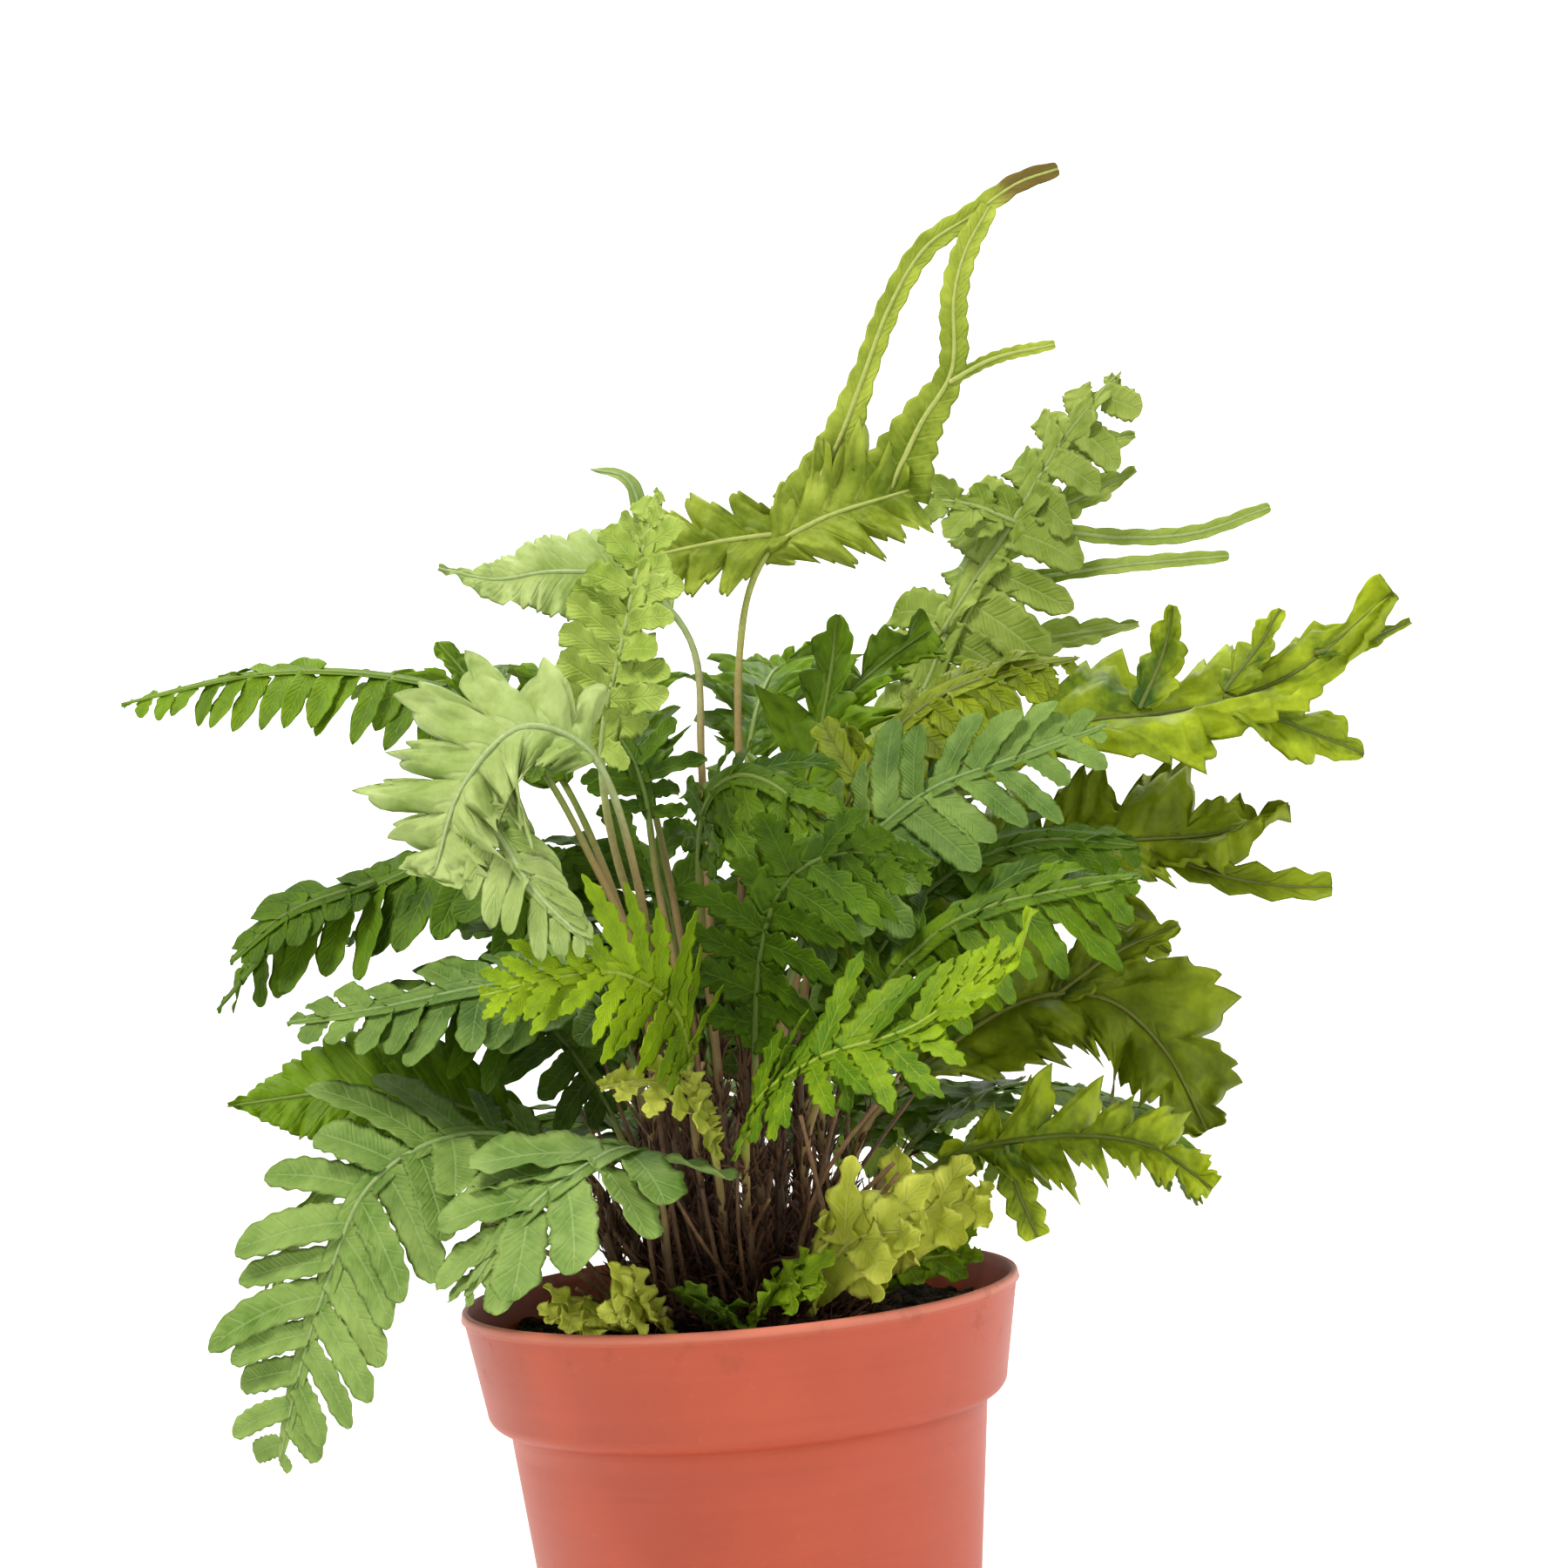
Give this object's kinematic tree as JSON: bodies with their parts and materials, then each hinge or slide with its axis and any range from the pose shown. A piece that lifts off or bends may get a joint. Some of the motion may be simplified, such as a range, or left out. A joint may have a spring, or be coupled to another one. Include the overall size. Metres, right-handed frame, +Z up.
{
  "type": "potted fern",
  "caption": "Potted fern: lobed, forked and feathery fronds on thin stalks, rising from a woody crown in potting mix, in a plain terracotta-coloured plastic pot.",
  "frame": {"origin": "middle of the pot's flat foot, on the surface that it stands on", "axes": "+Z up along the pot's axis; -Y is the front, the plant's fullest side; +X is to the right seen from the front, the side that the longest frond reaches to"},
  "size_m": [0.3253, 0.2281, 0.3965],
  "materials": {
    "pot_plastic": "moulded, faint satin",
    "potting_mix": "rough, loose peat and bark",
    "crown": "rough, fibrous",
    "leaf_deep": "satin",
    "leaf_mid": "satin",
    "leaf_fresh": "satin",
    "leaf_pale": "satin",
    "leaf_blue": "satin, faint bloom",
    "leaf_olive": "satin",
    "leaf_yellow": "satin"
  },
  "bodies": {
    "root": {"antler_frond": "leaf_olive", "back_high_frond_1": "leaf_mid", "back_high_frond_2": "leaf_mid", "back_high_frond_3": "leaf_mid", "back_left_dark_frond": "leaf_deep", "back_low_frond_1": "leaf_mid", "back_low_frond_2": "leaf_mid", "back_low_frond_3": "leaf_mid", "back_low_frond_4": "leaf_mid", "back_low_frond_5": "leaf_mid", "back_low_frond_6": "leaf_mid", "back_low_frond_7": "leaf_mid", "back_mid_frond_1": "leaf_deep", "back_mid_frond_2": "leaf_deep", "back_mid_frond_3": "leaf_deep", "back_mid_frond_4": "leaf_deep", "back_mid_frond_5": "leaf_deep", "bright_folded_frond": "leaf_fresh", "broad_pale_frond": "leaf_pale", "crown": "crown", "front_blue_frond": "leaf_blue", "front_fan_frond": "leaf_fresh", "front_lacy_frond": "leaf_fresh", "front_pale_frond": "leaf_yellow", "front_right_frond": "leaf_mid", "front_rounded_frond": "leaf_blue", "left_drooping_frond": "leaf_blue", "left_forked_frond": "leaf_deep", "left_inner_frond": "leaf_deep", "left_level_frond": "leaf_pale", "left_pointed_frond": "leaf_mid", "left_upper_frond": "leaf_mid", "middle_front_frond": "leaf_deep", "middle_hanging_frond": "leaf_mid", "middle_high_frond": "leaf_mid", "middle_left_frond": "leaf_deep", "middle_right_frond": "leaf_mid", "pale_upper_frond": "leaf_pale", "pot": "pot_plastic", "potting_mix": "potting_mix", "right_blade_frond": "leaf_deep", "right_crinkled_frond": "leaf_mid", "right_inner_frond": "leaf_deep", "right_lobed_frond": "leaf_fresh", "right_olive_frond": "leaf_olive", "right_upper_frond": "leaf_mid", "young_leaf_1": "leaf_yellow", "young_leaf_2": "leaf_yellow", "young_leaf_3": "leaf_fresh", "young_leaf_4": "leaf_fresh", "young_leaf_5": "leaf_mid", "young_leaf_6": "leaf_yellow", "young_leaf_7": "leaf_yellow"}
  },
  "joints": []
}
